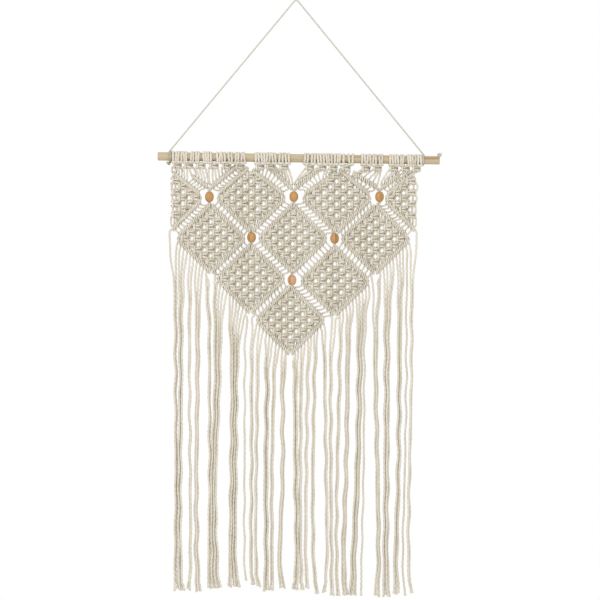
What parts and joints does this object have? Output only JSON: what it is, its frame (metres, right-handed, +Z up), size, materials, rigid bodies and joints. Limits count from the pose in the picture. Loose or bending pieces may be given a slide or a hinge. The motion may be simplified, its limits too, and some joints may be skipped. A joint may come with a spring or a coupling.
{
  "type": "macrame wall hanging on wooden dowel",
  "caption": "Cotton macrame wall hanging: a pointed lattice of knotted diamonds with wooden beads and a long fringe, on a dowel hung from a thin cord.",
  "frame": {"origin": "top of the hanging cord's bend, on the cord's middle line, where the nail or hook carries it", "axes": "+X to the viewer's right along the dowel, +Z up, front of the hanging faces -Y, the wall is on the +Y side"},
  "size_m": [0.427, 0.0184, 0.896],
  "materials": {
    "dowel_wood": "bare sanded pale softwood",
    "hanging_cord": "thin beige-grey twisted cord",
    "cotton": "undyed twisted cotton cord, matt",
    "bead_wood": "honey-brown turned wood, thinly waxed"
  },
  "bodies": {
    "root": {"dowel": "dowel_wood", "hanging_cord": "hanging_cord", "cord_tie_left": "hanging_cord", "cord_tie_right": "hanging_cord", "heading_01": "cotton", "heading_02": "cotton", "heading_03": "cotton", "heading_04": "cotton", "heading_05": "cotton", "heading_06": "cotton", "heading_07": "cotton", "heading_08": "cotton", "heading_09": "cotton", "heading_10": "cotton", "heading_11": "cotton", "heading_12": "cotton", "heading_13": "cotton", "heading_14": "cotton", "heading_15": "cotton", "heading_16": "cotton", "heading_17": "cotton", "heading_18": "cotton", "knotted_panel": "cotton", "fringe": "cotton", "bead_1": "bead_wood", "bead_2": "bead_wood", "bead_3": "bead_wood", "bead_4": "bead_wood", "bead_5": "bead_wood", "bead_6": "bead_wood"}
  },
  "joints": []
}
